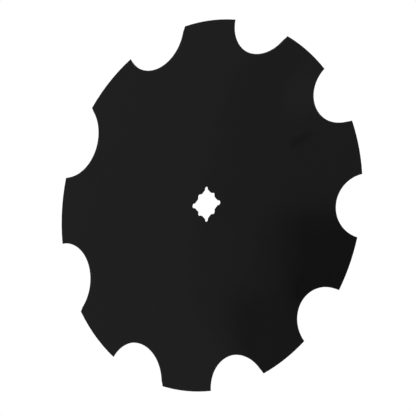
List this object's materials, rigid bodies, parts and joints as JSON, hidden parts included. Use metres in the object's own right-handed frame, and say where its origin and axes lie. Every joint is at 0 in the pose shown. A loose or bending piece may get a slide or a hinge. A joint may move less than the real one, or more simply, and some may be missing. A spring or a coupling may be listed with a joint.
{
  "type": "harrow disc blade",
  "caption": "Dished, notched steel blade for a disc harrow, with a star-shaped hole for a square axle.",
  "frame": {"origin": "on the blade's axis, at the middle of the star-shaped axle hole, level with the lowest metal of the back, which the blade rests on", "axes": "+Z along the blade's axis, out of its hollow side; a tooth is centred on -Y and a notch on +Y; the large axle square's sides run along X and Y"},
  "size_m": [0.4572, 0.4532, 0.0395],
  "materials": {
    "black_paint": "satin black paint on hardened spring steel plate"
  },
  "bodies": {
    "root": {"disc_blade": "black_paint"}
  },
  "joints": []
}
